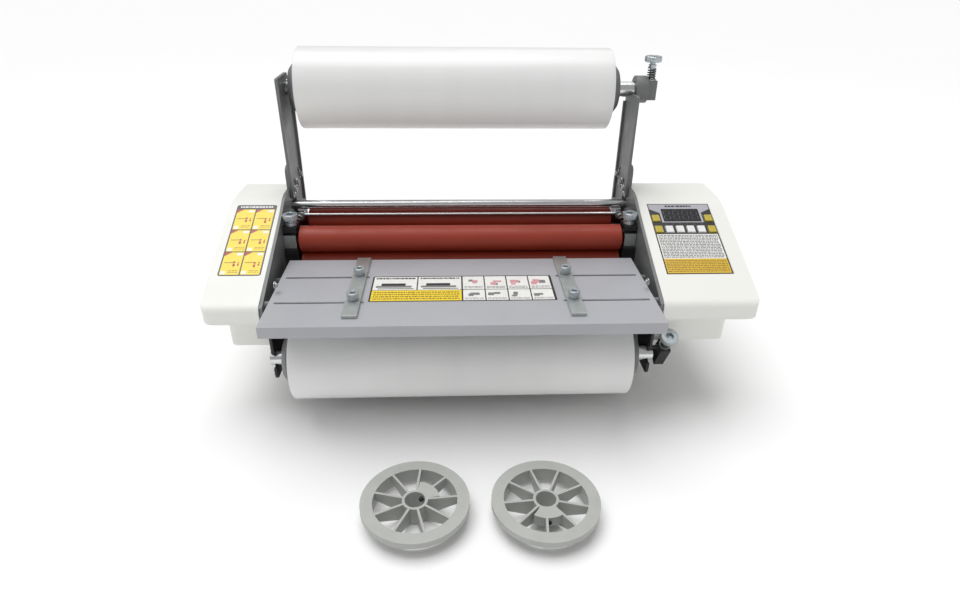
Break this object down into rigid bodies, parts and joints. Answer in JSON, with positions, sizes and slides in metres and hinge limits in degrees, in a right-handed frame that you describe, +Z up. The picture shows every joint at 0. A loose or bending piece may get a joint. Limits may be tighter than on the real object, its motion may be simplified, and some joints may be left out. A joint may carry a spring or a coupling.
{
  "type": "roll laminator",
  "caption": "Desktop roll laminator with paired rollers, feed table, upper and lower film rolls on mandrels, a keyed side casing and loose core adapters.",
  "frame": {"origin": "centre of the bounding box's footprint, on the floor that the feet and the loose adapters stand on", "axes": "+X to the operator's right along the rollers, +Y from the feed table to the exit, +Z up"},
  "size_m": [0.542, 0.4318, 0.3391],
  "materials": {
    "white_casing": "satin warm white powder coat",
    "grey_paint": "satin mid-grey paint",
    "dark_paint": "satin near-black paint",
    "table_paint": "satin light-grey powder coat",
    "zinc": "bright zinc-plated steel",
    "chrome": "ground and polished shafting",
    "silicone": "matt red-brown silicone sleeve on steel journals",
    "film": "wound clear film, milky white in the roll",
    "black_plastic": "moulded black plastic",
    "plug_plastic": "moulded mid-grey plastic",
    "grey_plastic": "moulded light-grey plastic",
    "rubber": "black rubber",
    "key_yellow": "printed yellow-green key cap",
    "key_white": "printed white key cap"
  },
  "bodies": {
    "idler": {"idler_bar": "chrome"},
    "front_lower": {"front_lower_roller": "silicone"},
    "rear_lower": {"rear_lower_roller": "silicone"},
    "rear_upper": {"rear_upper_roller": "silicone"},
    "carriage": {"left_pressure_carriage": "zinc", "right_pressure_carriage": "zinc"},
    "front_upper": {"front_upper_roller": "silicone"},
    "left_pressure": {"left_pressure_knob": "zinc"},
    "right_pressure": {"right_pressure_knob": "zinc"},
    "upper_supply": {"upper_mandrel": "chrome", "upper_film_roll": "film", "upper_left_plug": "plug_plastic", "upper_right_plug": "plug_plastic"},
    "lower_supply": {"lower_mandrel": "chrome", "lower_film_roll": "film", "lower_left_plug": "plug_plastic", "lower_right_plug": "plug_plastic"},
    "upper_brake": {"upper_brake_knob": "zinc"},
    "lower_brake": {"lower_brake_knob": "zinc"},
    "table": {"feed_table": "table_paint"},
    "left_guide_body": {"left_guide": "zinc"},
    "right_guide_body": {"right_guide": "zinc"},
    "rocker": {"power_rocker": "black_plastic"},
    "adapter_left": {"core_adapter_left": "grey_plastic"},
    "adapter_right": {"core_adapter_right": "grey_plastic"},
    "left_rear_thumb": {"left_rear_guide_knob": "zinc"},
    "left_front_thumb": {"left_front_guide_knob": "zinc"},
    "right_rear_thumb": {"right_rear_guide_knob": "zinc"},
    "right_front_thumb": {"right_front_guide_knob": "zinc"},
    "key_upper_left_cap": {"key_upper_left": "key_yellow"},
    "key_upper_right_cap": {"key_upper_right": "key_yellow"},
    "key_row_1_cap": {"key_row_1": "key_yellow"},
    "key_row_2_cap": {"key_row_2": "key_white"},
    "key_row_3_cap": {"key_row_3": "key_white"},
    "key_row_4_cap": {"key_row_4": "key_white"},
    "key_row_5_cap": {"key_row_5": "key_white"},
    "key_row_6_cap": {"key_row_6": "key_yellow"},
    "frame": {"left_side_plate": "grey_paint", "front_left_foot": "rubber", "rear_left_foot": "rubber", "right_side_plate": "grey_paint", "front_right_foot": "rubber", "rear_right_foot": "rubber", "chassis_pan": "grey_paint", "left_casing": "white_casing", "left_lower_shell": "white_casing", "right_casing": "white_casing", "right_lower_shell": "white_casing", "power_inlet": "black_plastic", "drive_belt": "rubber", "drive_motor": "zinc", "peel_bar": "chrome", "left_bearing_frame": "black_plastic", "right_bearing_frame": "black_plastic", "left_film_arm": "grey_paint", "left_lower_bracket": "dark_paint", "right_film_arm": "grey_paint", "right_lower_bracket": "dark_paint", "upper_brake_clamp": "grey_paint", "lower_brake_clamp": "dark_paint"}
  },
  "joints": [
    {"name": "front_lower_spin", "type": "hinge", "parent": "frame", "child": "front_lower", "pos_m": [-0.0205, 0.0856, 0.1238], "axis": [1, 0, 0], "continuous": true},
    {"name": "rear_lower_spin", "type": "hinge", "parent": "frame", "child": "rear_lower", "pos_m": [-0.0205, 0.1406, 0.1238], "axis": [1, 0, 0], "continuous": true},
    {"name": "rear_upper_spin", "type": "hinge", "parent": "frame", "child": "rear_upper", "pos_m": [-0.0205, 0.1406, 0.1524], "axis": [1, 0, 0], "continuous": true},
    {"name": "pressure_lift", "type": "slide", "parent": "frame", "child": "carriage", "axis": [0, 0, 1], "range_m": [0, 0.003], "stiffness_N_per_m": 4000, "springref_m": -0.004},
    {"name": "front_upper_spin", "type": "hinge", "parent": "carriage", "child": "front_upper", "pos_m": [-0.0205, 0.0856, 0.1524], "axis": [1, 0, 0], "continuous": true},
    {"name": "idler_spin", "type": "hinge", "parent": "frame", "child": "idler", "pos_m": [-0.0205, 0.1356, 0.1735], "axis": [1, 0, 0], "continuous": true},
    {"name": "left_pressure_turn", "type": "hinge", "parent": "frame", "child": "left_pressure", "pos_m": [-0.2043, 0.0856, 0.172], "axis": [0, 0, 1], "continuous": true},
    {"name": "right_pressure_turn", "type": "hinge", "parent": "frame", "child": "right_pressure", "pos_m": [0.1633, 0.0856, 0.172], "axis": [0, 0, 1], "continuous": true},
    {"name": "upper_supply_spin", "type": "hinge", "parent": "frame", "child": "upper_supply", "pos_m": [-0.0185, 0.1642, 0.2966], "axis": [1, 0, 0], "continuous": true},
    {"name": "lower_supply_spin", "type": "hinge", "parent": "frame", "child": "lower_supply", "pos_m": [-0.0205, -0.0165, 0.0664], "axis": [1, 0, 0], "continuous": true},
    {"name": "upper_brake_turn", "type": "hinge", "parent": "frame", "child": "upper_brake", "pos_m": [0.1899, 0.1642, 0.3071], "axis": [0, 0, 1], "continuous": true},
    {"name": "lower_brake_turn", "type": "hinge", "parent": "frame", "child": "lower_brake", "pos_m": [0.184, -0.0165, 0.0664], "axis": [0, -0.5, 0.866], "continuous": true},
    {"name": "table_lift", "type": "slide", "parent": "frame", "child": "table", "axis": [0, 0, 1], "range_m": [0, 0.06]},
    {"name": "left_guide_slide", "type": "slide", "parent": "table", "child": "left_guide_body", "axis": [-1, 0, 0], "range_m": [-0.007, 0.072]},
    {"name": "right_guide_slide", "type": "slide", "parent": "table", "child": "right_guide_body", "axis": [1, 0, 0], "range_m": [-0.007, 0.072]},
    {"name": "left_rear_thumb_turn", "type": "hinge", "parent": "left_guide_body", "child": "left_rear_thumb", "pos_m": [-0.125, 0.01975, 0.1395], "axis": [0, 0, 1], "continuous": true},
    {"name": "left_front_thumb_turn", "type": "hinge", "parent": "left_guide_body", "child": "left_front_thumb", "pos_m": [-0.125, -0.03305, 0.1395], "axis": [0, 0, 1], "continuous": true},
    {"name": "right_rear_thumb_turn", "type": "hinge", "parent": "right_guide_body", "child": "right_rear_thumb", "pos_m": [0.084, 0.01975, 0.1395], "axis": [0, 0, 1], "continuous": true},
    {"name": "right_front_thumb_turn", "type": "hinge", "parent": "right_guide_body", "child": "right_front_thumb", "pos_m": [0.084, -0.03305, 0.1395], "axis": [0, 0, 1], "continuous": true},
    {"name": "key_upper_left_press", "type": "slide", "parent": "frame", "child": "key_upper_left_cap", "axis": [0, 0.3748, -0.9271], "range_m": [0, 0.0008], "stiffness_N_per_m": 400, "springref_m": -0.0005},
    {"name": "key_upper_right_press", "type": "slide", "parent": "frame", "child": "key_upper_right_cap", "axis": [0, 0.3748, -0.9271], "range_m": [0, 0.0008], "stiffness_N_per_m": 400, "springref_m": -0.0005},
    {"name": "key_row_1_press", "type": "slide", "parent": "frame", "child": "key_row_1_cap", "axis": [0, 0.3748, -0.9271], "range_m": [0, 0.0008], "stiffness_N_per_m": 400, "springref_m": -0.0005},
    {"name": "key_row_2_press", "type": "slide", "parent": "frame", "child": "key_row_2_cap", "axis": [0, 0.3748, -0.9271], "range_m": [0, 0.0008], "stiffness_N_per_m": 400, "springref_m": -0.0005},
    {"name": "key_row_3_press", "type": "slide", "parent": "frame", "child": "key_row_3_cap", "axis": [0, 0.3748, -0.9271], "range_m": [0, 0.0008], "stiffness_N_per_m": 400, "springref_m": -0.0005},
    {"name": "key_row_4_press", "type": "slide", "parent": "frame", "child": "key_row_4_cap", "axis": [0, 0.3748, -0.9271], "range_m": [0, 0.0008], "stiffness_N_per_m": 400, "springref_m": -0.0005},
    {"name": "key_row_5_press", "type": "slide", "parent": "frame", "child": "key_row_5_cap", "axis": [0, 0.3748, -0.9271], "range_m": [0, 0.0008], "stiffness_N_per_m": 400, "springref_m": -0.0005},
    {"name": "key_row_6_press", "type": "slide", "parent": "frame", "child": "key_row_6_cap", "axis": [0, 0.3748, -0.9271], "range_m": [0, 0.0008], "stiffness_N_per_m": 400, "springref_m": -0.0005},
    {"name": "rocker_tip", "type": "hinge", "parent": "frame", "child": "rocker", "pos_m": [0.2472, 0.2096, 0.132], "axis": [1, 0, 0], "range_deg": [-16, 0]},
    {"name": "left_adapter_lift", "type": "slide", "parent": "frame", "child": "adapter_left", "axis": [0, 0, 1], "range_m": [0, 0.1]},
    {"name": "right_adapter_lift", "type": "slide", "parent": "frame", "child": "adapter_right", "axis": [0, 0, 1], "range_m": [0, 0.1]}
  ],
  "couplings": [
    {"joint": "rear_lower_spin", "follows": "front_lower_spin", "ratio": 1},
    {"joint": "front_upper_spin", "follows": "front_lower_spin", "ratio": -1},
    {"joint": "rear_upper_spin", "follows": "front_lower_spin", "ratio": -1}
  ]
}
